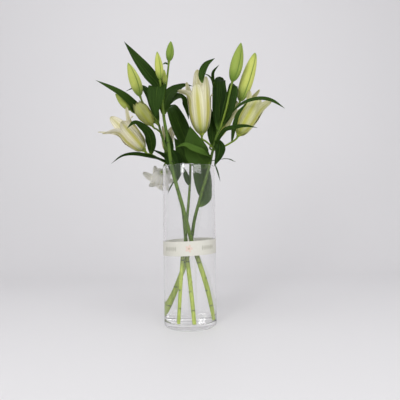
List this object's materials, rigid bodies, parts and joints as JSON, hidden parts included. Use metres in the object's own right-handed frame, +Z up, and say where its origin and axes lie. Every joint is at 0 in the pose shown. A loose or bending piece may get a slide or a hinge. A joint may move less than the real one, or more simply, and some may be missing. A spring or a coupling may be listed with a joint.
{
  "type": "lilies in a glass vase",
  "caption": "Cut white lilies with buds and dark leaves, standing crossed in water in a tall straight glass vase with a paper band.",
  "frame": {"origin": "centre of the vase's foot, on the surface it stands on", "axes": "+Z up along the vase's axis, -Y towards the front of the bouquet, +X to its right"},
  "size_m": [0.4614, 0.2296, 0.723],
  "materials": {
    "glass": "polished",
    "water": "polished",
    "paper": "matte",
    "greenery": "satin",
    "bud_skin": "satin",
    "petals": "satin",
    "stamens": "matte"
  },
  "bodies": {
    "root": {"vase": "glass", "water": "water", "band": "paper", "leafy_stem_1": "greenery", "bud_1": "bud_skin", "bud_2": "bud_skin", "bud_3": "bud_skin", "leafy_stem_2": "greenery", "bud_4": "bud_skin", "bud_5": "bud_skin", "bloom_1": "petals", "bloom_2": "petals", "stamens_2": "stamens", "bloom_3": "petals", "stamens_3": "stamens", "leafy_stem_3": "greenery", "bloom_7": "petals", "leafy_stem_4": "greenery", "bud_6": "bud_skin", "bud_7": "bud_skin", "bloom_4": "petals", "stamens_4": "stamens", "bloom_5": "petals", "stamens_5": "stamens", "bloom_6": "petals"}
  },
  "joints": []
}
